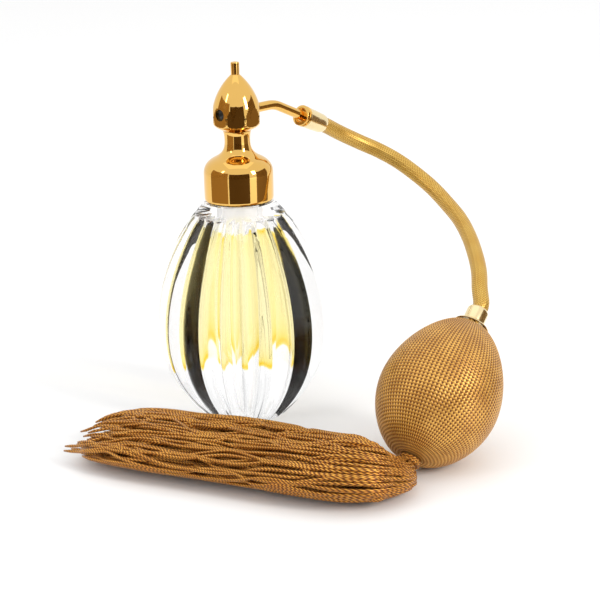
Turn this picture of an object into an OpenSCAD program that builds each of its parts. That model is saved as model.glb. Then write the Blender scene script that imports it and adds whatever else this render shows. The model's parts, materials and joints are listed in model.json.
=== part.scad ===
// Scent atomizer: a fluted glass bottle with a screw-on metal mount, a swivelling spray head,
// a thread-covered hose, and a netted rubber squeeze bulb that ends in a tassel.
// Millimetres, +Z up. The origin is the middle of the bottle's foot, on the table.
// The bulb and the tassel lie on the table in front of the bottle, on the -Y side.

/* [Bottle] */
// Widest diameter, over the flute ridges
glass_d = 63; // [56:0.5:76]
// Height at which the bottle is widest
belly_z = 36; // [30:1:42]
// Height of the glass shoulder, where the neck starts
shoulder_z = 81.3; // [72:0.1:98]
// Diameter of the shoulder under the collar
shoulder_d = 25.2; // [24.4:0.1:27]
// Diameter over the ridges at the foot
foot_d = 29; // [24:0.5:36]
// Number of flutes
flutes = 22; // [12:1:32]
// Depth of a flute at the belly, below a flat facet
flute_depth = 0.9; // [0.2:0.1:1.4]
// Diameter of the amber cavity, outside the amber layer
casing_d = 31.8; // [26:0.2:38]
// Thickness of the clear glass under the cavity
sole_t = 20.5; // [12:0.5:26]
// Thickness of the amber layer
casing_t = 1.1; // [0.6:0.1:2]

/* [Neck and thread] */
// Outside diameter of the glass neck
neck_d = 18.8; // [17.6:0.1:19.6]
// Bore of the glass neck
neck_bore_d = 13.6; // [11:0.1:15]
// Length of the glass neck above the shoulder
neck_h = 10.2; // [8.5:0.1:13]
// Crest diameter of the neck thread
thread_d = 21.8; // [21:0.1:22.4]
// Depth of the neck thread
thread_depth = 0.55; // [0.3:0.05:0.65]
// Pitch of the neck thread
thread_pitch = 1.5; // [1:0.1:2]

/* [Collar] */
// Outside diameter of the collar skirt
collar_d = 25.2; // [24.8:0.1:27]
// Wall of the collar shell
collar_wall = 0.6; // [0.4:0.05:0.7]
// Height of the straight skirt
skirt_h = 9.8; // [9:0.1:12]
// Waist diameter of the collar
waist_d = 9.3; // [8.4:0.1:10.4]
// Height of the waist above the straight skirt, up to the head
waist_h = 15.6; // [14:0.1:20]

/* [Spray head] */
// Width across the flats of the eight-sided head
head_af = 16.4; // [15:0.1:18]
// Diameter of the round body that the flats are cut on
head_d = 17.6; // [16.4:0.1:19.4]
// Height of the head without its pin
head_h = 19.9; // [18:0.1:22]
// Diameter of the swivel stem
stem_d = 6.2; // [5.6:0.1:6.4]
// Diameter of the pin on top
pin_d = 3.1; // [2.4:0.1:4]
// Length of the pin that shows
pin_h = 4.4; // [3:0.1:8]
// Diameter of the spray opening
jet_d = 4.2; // [3:0.1:4.8]
// Outside diameter of the siphon tube
siphon_d = 3.2; // [2.6:0.1:3.6]

/* [Air tube and hose] */
// Outside diameter of the bent metal tube
tube_d = 3.5; // [3:0.1:3.7]
// Bore of the metal tube
tube_bore_d = 2.1; // [1.4:0.1:2.4]
// How far the tube bends down, in degrees
tube_bend = 24.4; // [20:0.1:30]
// Outside diameter of the covered hose
hose_d = 5.8; // [5.6:0.1:6]
// Bore of the hose
hose_bore_d = 3.9; // [3.8:0.05:4]
// Outside diameter of the hose nut
nut_d = 7.8; // [7.6:0.1:9]
// Length of nut and ferrule on the hose
ferrule_len = 12.3; // [10:0.1:13]

/* [Bulb] */
// Widest diameter of the netted bulb
bulb_d = 43; // [36:0.2:46]
// Length of the bulb from its tail to its flange
bulb_len = 56.4; // [50:0.2:60]
// Thickness of the knitted net
net_t = 0.8; // [0.5:0.1:1.2]
// Thickness of the rubber wall
rubber_t = 1.8; // [1.2:0.1:2.6]
// Diameter of the saucer flange
flange_d = 12.8; // [11:0.1:16]
// Length of the nut at the bulb
bulb_nut_h = 5.7; // [4:0.1:8]
// Diameter of the valve ball
ball_d = 2.4; // [2:0.1:2.6]
// Travel of the valve ball
ball_lift = 0.8; // [0.4:0.1:1.2]

/* [Hidden] */
$fn = 96;

GOLD = "goldenrod";
PALE_GOLD = "khaki";
running = 0.05;      // radial clearance of a part that turns on another
slack = 0.1;         // radial clearance of a part that is pushed or screwed in
gap = 0.4;           // clearance between the collar's edge and the glass
curve_steps = 8;     // straight stretches in each curve of an outline
bite = 0.01;         // how far a cut runs past a face

// Bottle
foot_h = 0.4;
foot_face_d = foot_d - 2;
cavity_top = shoulder_z - 11.6;
belly_rings = 10;
flute_cuts = 4;
neck_top = shoulder_z + neck_h;
thread_z = shoulder_z + 2;
thread_root_d = thread_d - 2 * thread_depth;

// Mount, from the gasket up
gasket_t = 1.2;
gasket_z = neck_top + running;
stem_flange_t = 1.7;
stem_flange_d = 12.2;
stem_flange_z = gasket_z + gasket_t + 0.2;
collar_z = shoulder_z + gap;
skirt_top = collar_z + skirt_h;
waist_top = skirt_top + waist_h;
insert_bore_d = thread_d + 2 * slack;
insert_d = collar_d - 2 * collar_wall;
collar_ceiling = waist_top - 10.2;

// Head
head_z = waist_top + 0.3;
head_top = head_z + head_h;
jet_z = head_z + 6.3;
head_turn = 45;          // the tube leaves towards +X and +Y, the spray towards -X and -Y
bush_d = 10;
bush_h = 3.5;
stem_head_d = 8.4;
stem_head_h = 1;
stem_head_z = head_z + bush_h + 0.1;
stem_top = stem_head_z + stem_head_h;
seal_h = 0.7;
jet_depth = 3.2;
jet_recess = 1.2;

// Tube: it leaves the head level, bends down, and ends inside the hose
bend_r = 14;
bend_x = 15.8;
tube_inside = 4.6;
tube_bend_steps = 8;
tube_sides = 24;
slant = 11.9;            // straight stretch from the bend to the nut
bend_end = [bend_x + bend_r * sin(tube_bend), 0, jet_z - bend_r * (1 - cos(tube_bend))];
nut_h = 2.3;

// Bulb: its own axis is +Z in bulb_frame(), from the tail to the hose
bulb_rise = 38;
bulb_heading = 57;
bulb_tail = 26.3;
flange_z = bulb_len - bulb_tail;
flange_t = 0.8;
spigot_d = 3.5;
spigot_bore_d = 2.1;
valve_d = 5.2;
valve_len = 11;
valve_z = -bulb_tail - 2.6;
ball_z = valve_z + 3.4;
bulb_low = max([for (p = bulb_line()) p[0] * cos(bulb_rise) - p[1] * sin(bulb_rise)]);
bulb_at = [68.4, -51.5, bulb_low];   // the bulb rests on the table
tie_ring_d = 2;
knot_ball_r = 1.3;
knot_d = 6;
knot_h = 2.8;
knot_z = valve_z - 0.3 - knot_ball_r;

// Middle of the hose, from its end in the ferrule to its end in the bulb nut
hose_out = [[38, 36.2, 97.6], [45.4, 38.8, 93.4], [52.8, 39.2, 89.8], [59.8, 37.8, 85.9],
            [66.2, 34.5, 81.6], [72, 29.5, 77.3], [76.9, 22.7, 72.9], [81.2, 14, 68.6],
            [83.9, 3.8, 64], [85.3, -6.7, 59.2], [85.6, -13.8, 55.7], [85.2, -20, 52]];
hose_sides = 12;
hose_steps = 2;

// Middle of the tassel, with half its width and half its height
tassel_route = [[54, -76.8, 8.5, 6.5, 7], [48.5, -82, 10.2, 13.5, 10], [38.5, -83.8, 10.6, 17, 10.4],
                [26, -78.2, 9.8, 19, 9.6], [10, -67, 8.8, 22, 8.6], [-6, -57.5, 8.2, 23.5, 8],
                [-22.6, -50.3, 7.8, 23, 7.6], [-36, -43, 7.4, 23, 7.2], [-46.5, -38.5, 6.6, 20.5, 6.4],
                [-53.5, -36, 5, 16, 4.8]];
tassel_sides = 16;
tassel_steps = 2;

// Curves

function bezier(p, t) = let (q = 1 - t) q * q * q * p[0] + 3 * q * q * t * p[1]
    + 3 * q * t * t * p[2] + t * t * t * p[3];

// A chain of curves: each has two handles and an end point, and starts where the last one ended
function curves(p, steps = curve_steps) = [
    for (i = [0:3:len(p) - 4]) for (k = [0:steps - 1]) bezier([p[i], p[i + 1], p[i + 2], p[i + 3]], k / steps),
    p[len(p) - 1]];

// The outline moved sideways by t, to the left of its direction
function inset(line, t) = [for (i = [0:len(line) - 1])
    let (d = line[min(i + 1, len(line) - 1)] - line[max(i - 1, 0)], n = [-d[1], d[0]] / norm(d)) line[i] + t * n];

function reversed(list) = [for (i = [len(list) - 1:-1:0]) list[i]];

// A smooth line through points of any number of coordinates
function through(p, i, t) = let (a = p[max(i - 1, 0)], b = p[i], c = p[i + 1], d = p[min(i + 2, len(p) - 1)])
    0.5 * (2 * b + (c - a) * t + (2 * a - 5 * b + 4 * c - d) * t * t + (3 * b - a - 3 * c + d) * t * t * t);
function smooth(p, steps) = [
    for (i = [0:len(p) - 2]) for (k = [0:steps - 1]) through(p, i, k / steps),
    p[len(p) - 1]];

function xyz(v) = [v[0], v[1], v[2]];
function ahead(line, i) = let (d = xyz(line[min(i + 1, len(line) - 1)]) - xyz(line[max(i - 1, 0)])) d / norm(d);
function across(line, i) = let (s = cross([0, 0, 1], ahead(line, i))) s / norm(s);

// A ring of points around a line at point i, w to the side and h up
function ring(line, i, w, h, sides) = let (s = across(line, i), u = cross(ahead(line, i), s))
    [for (k = [0:sides - 1]) let (a = 360 * k / sides) xyz(line[i]) + w * cos(a) * s + h * sin(a) * u];

// Triangles between ring a and ring b, whose points start at those numbers
function band(a, b, sides) = [for (k = [0:sides - 1]) let (m = (k + 1) % sides)
    each [[a + k, b + k, b + m], [a + k, b + m, a + m]]];

// A tube along a line, open at both ends
module hollow_sweep(line, outer_d, inner_d, n) {
    rows = len(line);
    half = rows * n;
    points = concat([for (i = [0:rows - 1]) each ring(line, i, outer_d / 2, outer_d / 2, n)],
        [for (i = [0:rows - 1]) each ring(line, i, inner_d / 2, inner_d / 2, n)]);
    outside = [for (i = [0:rows - 2]) each band(i * n, (i + 1) * n, n)];
    bore = [for (i = [0:rows - 2]) each band(half + (i + 1) * n, half + i * n, n)];
    polyhedron(points, concat(outside, bore, band(half, 0, n), band(half - n, 2 * half - n, n)));
}

// Frames

module head_frame() { rotate([0, 0, head_turn]) children(); }

// +Z points along the slanted stretch of the tube, from the end face of the hose nut
module nut_frame() {
    head_frame() translate(bend_end) rotate([0, 90 + tube_bend, 0]) translate([0, 0, slant]) children();
}

module bulb_frame() { translate(bulb_at) rotate([0, 90 - bulb_rise, bulb_heading]) children(); }

// The same two places as functions, for the ends of the hose
nut_face = let (d = [cos(tube_bend), 0, -sin(tube_bend)], p = bend_end + slant * d, c = cos(head_turn), s = sin(head_turn))
    [c * p[0], s * p[0], p[2]];
nut_dir = [cos(tube_bend) * cos(head_turn), cos(tube_bend) * sin(head_turn), -sin(tube_bend)];
bulb_dir = [cos(bulb_rise) * cos(bulb_heading), cos(bulb_rise) * sin(bulb_heading), sin(bulb_rise)];
bulb_nut_top = flange_z + flange_t + bulb_nut_h;
hose_in_ferrule = ferrule_len - 1;
hose_route = concat(
    [for (s = [-8.4, -0.8, 2.5]) nut_face + (ferrule_len + s) * nut_dir],
    hose_out,
    [for (s = [2.6, -0.2, -4.4]) bulb_at + (bulb_nut_top + s) * bulb_dir]);

module ring_of(outer_d, inner_d, h) {
    difference() {
        cylinder(d = outer_d, h = h);
        translate([0, 0, -1]) cylinder(d = inner_d, h = h + 2);
    }
}

// Bottle

function ridge_line() = curves([[foot_d / 2, foot_h], [foot_d / 2 + 9, 9], [glass_d / 2, belly_z - 17],
    [glass_d / 2, belly_z], [glass_d / 2, belly_z + 17], [shoulder_d / 2 + 10.9, shoulder_z - 11.3],
    [shoulder_d / 2, shoulder_z]], belly_rings);

// One ring of the fluted wall: ridges at radius r, with a hollow between each two
function flute_ring(r, z) = let (half = 180 / flutes, sag = flute_depth * 2 * r / glass_d)
    [for (f = [0:flutes - 1]) for (k = [0:flute_cuts - 1]) let (t = 2 * k / flute_cuts - 1,
        x = r * cos(half) - sag * (1 - t * t), y = t * r * sin(half), a = (2 * f + 1) * half - 86)
        [x * cos(a) - y * sin(a), x * sin(a) + y * cos(a), z]];

module fluted_body() {
    line = concat([[foot_d / 2 - 2.5, foot_h]], ridge_line(), [[shoulder_d / 2 - 2.3, shoulder_z]]);
    n = flutes * flute_cuts;
    rows = len(line);
    points = [for (p = line) each flute_ring(p[0], p[1])];
    walls = [for (i = [0:rows - 2]) each band(i * n, (i + 1) * n, n)];
    polyhedron(points, concat(walls, [[for (k = [0:n - 1]) k]], [[for (k = [n - 1:-1:0]) (rows - 1) * n + k]]));
}

function casing_line() = curves([[2, sole_t], [9.5, sole_t], [casing_d / 2, sole_t + 10.5],
    [casing_d / 2, belly_z + 7], [casing_d / 2, belly_z + 18], [casing_d / 2 - 2.1, cavity_top - 6],
    [casing_d / 2 - 4, cavity_top - 3.2]]);

module bottle_glass() {
    color("aliceblue") difference() {
        union() {
            fluted_body();
            cylinder(d = foot_face_d, h = 2);
            rotate_extrude() polygon(concat([[0, shoulder_z - 3], [shoulder_d / 2 - 1.4, shoulder_z - 3]],
                curves([[shoulder_d / 2 - 0.9, shoulder_z - 0.2], [neck_d / 2 + 1, shoulder_z + 0.2],
                    [neck_d / 2, shoulder_z + 0.6], [neck_d / 2, shoulder_z + 1.8]], 4),
                [[neck_d / 2, neck_top], [0, neck_top]]));
        }
        rotate_extrude() polygon(concat([[0, sole_t]], casing_line(),
            [[neck_bore_d / 2, cavity_top], [neck_bore_d / 2, neck_top + 1], [0, neck_top + 1]]));
    }
}

module amber_casing() {
    outer = concat([[0, sole_t]], casing_line(), [[neck_bore_d / 2 + 0.05, cavity_top]]);
    inner = inset(casing_line(), casing_t);
    color("orange") rotate_extrude() polygon(concat(outer, [[neck_bore_d / 2 + 0.05, cavity_top - 0.7]],
        reversed([for (p = inner) if (p[1] < cavity_top - 3.2) p]), [[0, sole_t + casing_t]]));
}

module neck_ring() {
    h = neck_top - thread_z - 0.3;
    color(GOLD) translate([0, 0, thread_z]) rotate_extrude() difference() {
        translate([neck_d / 2, 0]) square([(thread_d - neck_d) / 2, h]);
        for (i = [0:floor((h - 1) / thread_pitch) - 1])
            translate([thread_root_d / 2, 0.9 + i * thread_pitch]) square([thread_depth + 1, thread_pitch / 2]);
    }
}

// Mount

module neck_gasket() {
    color("dimgray") translate([0, 0, gasket_z]) ring_of(insert_bore_d - 0.6, stem_d + 2 * slack, gasket_t);
}

module swivel_stem() {
    bottom = gasket_z - 6;
    color(GOLD) difference() {
        union() {
            translate([0, 0, bottom]) cylinder(d = siphon_d + 1.2, h = stem_top - bottom);
            translate([0, 0, neck_top]) cylinder(d = stem_d, h = stem_top - neck_top);
            translate([0, 0, stem_flange_z]) cylinder(d = stem_flange_d, h = stem_flange_t);
            translate([0, 0, stem_head_z]) cylinder(d = stem_head_d, h = stem_head_h);
        }
        translate([0, 0, bottom - 1]) cylinder(d = siphon_d, h = 9);
        translate([0, 0, bottom]) cylinder(d = siphon_d - 1, h = stem_top - bottom + 1);
    }
}

module siphon_tube() {
    bottom = sole_t + casing_t + 2;
    top = gasket_z + 2;
    color("ivory") difference() {
        translate([0, 0, bottom]) cylinder(d = siphon_d, h = top - bottom);
        translate([0, 0, bottom - 1]) cylinder(d = siphon_d - 1, h = top - bottom + 2);
        translate([0, 0, bottom]) rotate([0, 35, 0]) translate([0, 0, -siphon_d])
            cube([siphon_d * 4, siphon_d * 2, siphon_d * 2], center = true);
    }
}

// Outside of the collar, from its top edge down to its lower edge
function collar_line() = let (r = collar_d / 2, w = waist_d / 2) concat(
    curves([[w + 0.65, waist_top], [w + 0.1, waist_top - 0.8], [w - 0.05, waist_top - 2.5], [w, waist_top - 4.1],
        [w + 0.07, waist_top - 6.7], [w + 0.95, waist_top - 8.2], [w + 3.5, waist_top - 9.5],
        [r - 1.7, waist_top - 10.8], [r, waist_top - 12.4], [r, skirt_top]]),
    curves([[r - 0.05, collar_z + 1.6], [r - 0.05, collar_z + 0.8], [r - 0.25, collar_z + 0.25], [r - 0.6, collar_z]], 4));

// Inside of the collar shell, from its ceiling down to the straight skirt
function collar_inside() = let (r = insert_d / 2, w = waist_d / 2) curves([[w + 2.9, collar_ceiling - 0.1],
    [r - 1.9, collar_ceiling - 1.6], [r, waist_top - 12.6], [r, skirt_top]], 6);

module collar_shell() {
    r = insert_d / 2;
    ceiling = collar_ceiling;
    inside = concat([[0, ceiling], [waist_d / 2 + 2.4, ceiling]], collar_inside(),
        [[r, collar_z - 1], [0, collar_z - 1]]);
    color(GOLD) difference() {
        rotate_extrude() polygon(concat([[0, waist_top]], collar_line(), [[0, collar_z]]));
        rotate_extrude() polygon(inside);
        translate([0, 0, ceiling - 1]) cylinder(d = stem_d + 2 * running, h = waist_top - ceiling + 2);
    }
}

module collar_insert() {
    seat = gasket_z + gasket_t + running;
    ceiling = collar_ceiling - slack;
    low = collar_z + 0.9;
    color("peru") difference() {
        rotate_extrude() polygon(concat([[0, ceiling], [waist_d / 2 + 2.4, ceiling]], inset(collar_inside(), -slack),
            [[insert_d / 2, skirt_top - 0.3], [insert_d / 2, low], [0, low]]));
        translate([0, 0, low - 1]) cylinder(d = insert_bore_d, h = seat - low + 1);
        translate([0, 0, seat - bite]) cylinder(d = stem_flange_d + 2 * slack, h = stem_flange_t + 0.4);
        translate([0, 0, seat]) cylinder(d = stem_d + 2 * running, h = ceiling - seat + 1);
    }
}

// Spray head

function head_line() = let (r = head_d / 2) concat(
    curves([[pin_d / 2, head_top], [pin_d / 2 + 3.25, head_top - 2.9], [r - 0.2, head_top - 8.3], [r, head_top - 14.8]]),
    curves([[r, head_z + 3.2], [r - 0.1, head_z + 2], [r - 1, head_z + 1.2], [r - 2.4, head_z + 0.5]], 4),
    [[bush_d / 2 + 0.5, head_z]]);

module acorn_head() {
    color(GOLD) difference() {
        intersection() {
            rotate_extrude() polygon(concat([[0, head_top]], head_line(), [[0, head_z]]));
            rotate([0, 0, 22.5]) translate([0, 0, head_z - 1])
                cylinder(d = head_af / cos(22.5), h = head_h + 2, $fn = 8);
        }
        translate([0, 0, head_z - 1]) cylinder(d = bush_d, h = bush_h + 1);
        translate([0, 0, head_z]) cylinder(d = stem_head_d + 2 * slack, h = stem_top + seal_h + slack - head_z);
        translate([0, 0, head_z]) cylinder(d = siphon_d - 1, h = jet_z - head_z);
        translate([0, 0, head_top - 3]) cylinder(d = pin_d - 1, h = 4);
        head_frame() translate([0, 0, jet_z]) {
            rotate([0, 90, 0]) cylinder(d = tube_d, h = head_d);
            rotate([0, -90, 0]) cylinder(d = tube_bore_d, h = head_d);
            translate([-head_af / 2 + jet_depth, 0, 0]) rotate([0, -90, 0]) cylinder(d = jet_d, h = head_d);
            sphere(d = tube_d);
        }
    }
}

module swivel_bush() {
    color(GOLD) translate([0, 0, head_z + running]) ring_of(bush_d, stem_d + 2 * running, bush_h - running);
}

module head_seal() {
    color("dimgray") translate([0, 0, stem_top + running]) ring_of(stem_head_d, siphon_d, seal_h);
}

module finial_pin() {
    color(GOLD) {
        translate([0, 0, head_top - 2.8]) cylinder(d = pin_d - 1, h = 3);
        translate([0, 0, head_top]) rotate_extrude() polygon(concat([[0, 0], [pin_d / 2, 0]],
            curves([[pin_d / 2, pin_h - 0.5], [pin_d / 2, pin_h - 0.15], [pin_d / 2 - 0.15, pin_h],
                [pin_d / 2 - 0.5, pin_h]], 4), [[0, pin_h]]));
    }
}

module jet_nozzle() {
    len = jet_depth - jet_recess;
    color("black") head_frame() translate([-head_af / 2 + jet_depth, 0, jet_z]) rotate([0, -90, 0]) difference() {
        cylinder(d = jet_d, h = len);
        translate([0, 0, -1]) cylinder(d = 0.7, h = len + 2);
        translate([0, 0, len - 0.9]) cylinder(d1 = 0.7, d2 = jet_d - 0.8, h = 0.9 + bite);
    }
}

// Air tube

// Middle of the tube, from inside the head to the end of its barb in the hose
function tube_line() = let (c = cos(head_turn), s = sin(head_turn), flat = concat([[tube_inside, jet_z]],
    [for (i = [0:tube_bend_steps]) let (a = tube_bend * i / tube_bend_steps)
        [bend_x + bend_r * sin(a), jet_z - bend_r * (1 - cos(a))]],
    [[bend_end[0], bend_end[2]] + (slant + ferrule_len) * [cos(tube_bend), -sin(tube_bend)]]))
    [for (p = flat) [c * p[0], s * p[0], p[1]]];

module air_tube() { color(GOLD) hollow_sweep(tube_line(), tube_d, tube_bore_d, tube_sides); }

// The nut has a stepped hole for the tube, a broad rim, a groove and a narrow rim
module tube_nut() {
    r = nut_d / 2;
    color(GOLD) nut_frame() difference() {
        rotate_extrude() polygon([[0, 0], [r - 0.25, 0], [r, 0.25], [r, 0.9], [r - 0.35, 1.1], [r - 0.35, 1.45],
            [r, 1.65], [r, nut_h - 0.15], [r - 0.15, nut_h], [0, nut_h]]);
        translate([0, 0, -1]) cylinder(d = tube_d, h = nut_h + 2);
        translate([0, 0, -bite]) cylinder(d1 = tube_d + 1.5, d2 = tube_d + 0.9, h = 0.7);
    }
}

module hose_ferrule() {
    r = nut_d / 2;
    bore = hose_d / 2 + slack;
    color(PALE_GOLD) nut_frame() rotate_extrude() polygon([[bore, nut_h], [r - 0.1, nut_h],
        [r - 0.15, ferrule_len * 0.55], [bore + 0.55, ferrule_len - 1], [bore + 0.3, ferrule_len], [bore, ferrule_len]]);
}

module hose() { color(GOLD) hollow_sweep(smooth(hose_route, hose_steps), hose_d, hose_bore_d, hose_sides); }

// Bulb

// Outside of the net, from the tail to the flange
function bulb_line() = let (r = bulb_d / 2, z = -bulb_tail) curves([[valve_d / 2 + 0.3, z], [11.5, z],
    [r, z + 12.3], [r, z + 25.3], [r, z + 38.8], [r - 9.6, flange_z - 3.6], [5.2, flange_z - 1.2]]);

module bulb_spigot() {
    top = bulb_nut_top + 0.6;
    bottom = flange_z - 5;
    color(GOLD) bulb_frame() difference() {
        union() {
            translate([0, 0, bottom]) cylinder(d = spigot_d, h = top - bottom);
            translate([0, 0, bottom]) cylinder(d = spigot_d + 1.6, h = 1.2);
        }
        translate([0, 0, bottom - 1]) cylinder(d = spigot_bore_d, h = top - bottom + 2);
    }
}

module bulb_nut() {
    r = nut_d / 2;
    color(PALE_GOLD) bulb_frame() translate([0, 0, flange_z + flange_t]) difference() {
        rotate_extrude() polygon([[0, 0], [r, 0], [r, bulb_nut_h - 0.6], [r - 0.5, bulb_nut_h], [0, bulb_nut_h]]);
        translate([0, 0, -1]) cylinder(d = spigot_d, h = bulb_nut_h + 2);
        translate([0, 0, bulb_nut_h - 4.6]) cylinder(d = hose_d + 2 * slack, h = 6);
    }
}

module bulb_flange() {
    r = flange_d / 2;
    color(PALE_GOLD) bulb_frame() translate([0, 0, flange_z]) rotate_extrude() polygon([[spigot_d / 2, 0.1],
        [3.6, 0.1], [r - 0.6, -1], [r, -1], [r, -0.7], [4.2, flange_t], [spigot_d / 2, flange_t]]);
}

module bulb_washer() {
    color(GOLD) bulb_frame() translate([0, 0, flange_z - 5 + 1.2]) ring_of(9, spigot_d, 0.8);
}

module bulb_bladder() {
    line = bulb_line();
    outer = inset(line, net_t + 0.05);
    inner = inset(line, net_t + rubber_t);
    neck = flange_z - 3;
    color("saddlebrown") bulb_frame() rotate_extrude() polygon(concat(
        [[valve_d / 2, -bulb_tail + net_t + 0.1]],
        [for (p = outer) if (p[0] > valve_d / 2 + 0.4 && p[1] < flange_z - 2.2) p],
        [[spigot_d / 2, flange_z - 1.6], [spigot_d / 2, neck], [4.9, neck]],
        reversed([for (p = inner) if (p[0] > valve_d / 2 + 0.4 && p[1] < neck - 1.4) p]),
        [[valve_d / 2, -bulb_tail + net_t + rubber_t]]));
}

module bulb_net() {
    line = bulb_line();
    inner = inset(line, net_t);
    color("darkgoldenrod") bulb_frame() rotate_extrude() polygon(concat(line, reversed(inner)));
}

module intake_valve() {
    inside = -bulb_tail + net_t + rubber_t + 0.4;
    color(GOLD) bulb_frame() difference() {
        union() {
            translate([0, 0, valve_z]) cylinder(d = valve_d, h = valve_len);
            translate([0, 0, inside]) cylinder(d = valve_d + 2.6, h = 1);
        }
        translate([0, 0, valve_z - 1]) cylinder(d = 1.2, h = valve_len + 2);
        translate([0, 0, ball_z - ball_d / 2 - 0.2]) cylinder(d1 = 1.2, d2 = ball_d + 0.2, h = 1.1);
        translate([0, 0, ball_z - ball_d / 2 + 0.85]) cylinder(d = ball_d + 0.2, h = valve_len);
    }
}

module valve_ball() { color("silver") bulb_frame() translate([0, 0, ball_z + 0.1]) sphere(d = ball_d); }

module ball_retainer() {
    z = ball_z + 0.1 + ball_d / 2 + ball_lift + 0.1;
    color("silver") bulb_frame() translate([0, 0, z]) difference() {
        cylinder(d = ball_d + 0.2, h = 0.8);
        translate([0, 0, -1]) cylinder(d = 1, h = 3);
    }
}

module net_tie() {
    color("sienna") bulb_frame() translate([0, 0, -bulb_tail - tie_ring_d / 2 - 0.3]) rotate_extrude()
        translate([valve_d / 2 + tie_ring_d / 2 + 0.05, 0]) circle(d = tie_ring_d, $fn = 24);
}

// Tassel

// A wrapped knot that turns on a small ball under the valve
module tassel_head() {
    r = knot_d / 2;
    color("sienna") bulb_frame() translate([0, 0, knot_z]) {
        sphere(r = knot_ball_r);
        translate([0, 0, -knot_h]) rotate_extrude() polygon(concat([[0, 0], [r - 0.8, 0]],
            curves([[r - 0.3, 0], [r, 0.4], [r, 1], [r, 1.6], [r - 0.2, 2], [r - 0.8, knot_h - 0.4]], 4),
            [[0, knot_h - 0.4]]));
    }
}

module tassel() {
    line = smooth(tassel_route, tassel_steps);
    rows = len(line);
    n = tassel_sides;
    points = [for (i = [0:rows - 1]) for (p = ring(line, i, line[i][3], line[i][4], n)) [p[0], p[1], max(p[2], 0)]];
    walls = [for (i = [0:rows - 2]) each band(i * n, (i + 1) * n, n)];
    start = [for (k = [1:n - 2]) [0, k, k + 1]];
    last = (rows - 1) * n;
    end = [for (k = [1:n - 2]) [last, last + k + 1, last + k]];
    color("chocolate") difference() {
        polyhedron(points, concat(walls, start, end));
        bulb_frame() translate([0, 0, knot_z - knot_h - 0.1]) cylinder(d = knot_d + slack, h = 12);
    }
}

bottle_glass();
amber_casing();
neck_ring();
neck_gasket();
swivel_stem();
siphon_tube();
collar_shell();
collar_insert();
acorn_head();
swivel_bush();
head_seal();
finial_pin();
jet_nozzle();
air_tube();
tube_nut();
hose_ferrule();
hose();
bulb_spigot();
bulb_nut();
bulb_flange();
bulb_washer();
bulb_bladder();
bulb_net();
intake_valve();
valve_ball();
ball_retainer();
net_tie();
tassel_head();
tassel();
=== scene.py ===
# %% [markdown]
# # A scent sprayer with a squeeze bulb
# The real object is a heavy fluted bottle with an amber layer inside, a polished gold mount, a
# thread-covered hose, a rubber bulb in a knitted net and a long silky tassel. Every piece is made
# here around a frame of plain solids that already has the right sizes and joints. The frame is
# loaded first. The finished pieces must stay inside it.

# %% Load the frame
import json
import math
import random
import bpy
import numpy as np
from mathutils import Matrix, Vector

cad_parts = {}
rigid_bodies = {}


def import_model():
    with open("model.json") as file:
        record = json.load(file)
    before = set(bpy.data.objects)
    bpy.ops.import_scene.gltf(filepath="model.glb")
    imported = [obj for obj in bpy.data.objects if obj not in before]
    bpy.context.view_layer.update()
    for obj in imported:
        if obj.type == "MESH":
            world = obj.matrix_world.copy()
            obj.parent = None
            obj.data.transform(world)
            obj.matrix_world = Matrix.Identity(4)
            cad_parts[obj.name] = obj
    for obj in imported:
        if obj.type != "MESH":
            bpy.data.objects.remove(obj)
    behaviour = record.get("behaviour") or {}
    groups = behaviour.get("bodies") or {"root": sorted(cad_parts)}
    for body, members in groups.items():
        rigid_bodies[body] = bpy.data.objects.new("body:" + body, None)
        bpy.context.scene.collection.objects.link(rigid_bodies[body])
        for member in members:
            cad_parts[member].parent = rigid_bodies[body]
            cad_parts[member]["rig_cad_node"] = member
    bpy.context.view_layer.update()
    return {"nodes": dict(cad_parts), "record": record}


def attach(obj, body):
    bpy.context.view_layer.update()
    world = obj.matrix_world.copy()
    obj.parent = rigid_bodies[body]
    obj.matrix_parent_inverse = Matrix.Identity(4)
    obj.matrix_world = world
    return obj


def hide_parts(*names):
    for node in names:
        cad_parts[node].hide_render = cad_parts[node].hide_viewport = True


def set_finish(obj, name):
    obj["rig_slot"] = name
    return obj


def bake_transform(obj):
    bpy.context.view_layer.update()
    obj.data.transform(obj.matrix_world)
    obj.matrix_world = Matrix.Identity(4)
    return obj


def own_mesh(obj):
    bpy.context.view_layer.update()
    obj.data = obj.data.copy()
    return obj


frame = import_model()
MM = 0.001
chance = random.Random(7)

# %% [markdown]
# ## The camera
# The camera stands straight in front, a little above, with a long lens so that nothing is
# stretched. It leans by about a degree. A target point could aim it, but a plain rotation is
# shorter and can't drift.

# %% Place the camera
turn = Matrix.Rotation(math.radians(73), 3, "X") @ Matrix.Rotation(math.radians(-1.35), 3, "Z")
bpy.ops.object.camera_add(location=(0.0211, -0.63116, 0.23597), rotation=turn.to_euler())
camera = bpy.context.object
camera.name = "front_camera"
camera.data.lens = 107.5
camera.data.sensor_width = 36
camera.data.clip_start = 0.01
bpy.context.scene.camera = camera
print("camera at", tuple(round(v, 3) for v in camera.location))

# %% [markdown]
# ## Smooth lines
# Most outlines are chains of Bezier curves, and most routes are smooth lines through points. Both
# are short functions, so an outline can be drawn from a few handles and made as fine as needed.

# %% Curves and routes
def curves(points, steps):
    """A chain of Bezier curves: two handles and an end point each."""
    line = []
    for i in range(0, len(points) - 3, 3):
        p = [np.array(q, float) for q in points[i:i + 4]]
        for k in range(steps):
            t = k / steps
            line.append(p[0] * (1 - t) ** 3 + p[1] * 3 * t * (1 - t) ** 2 + p[2] * 3 * t * t * (1 - t) + p[3] * t ** 3)
    return line + [np.array(points[-1], float)]


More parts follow.
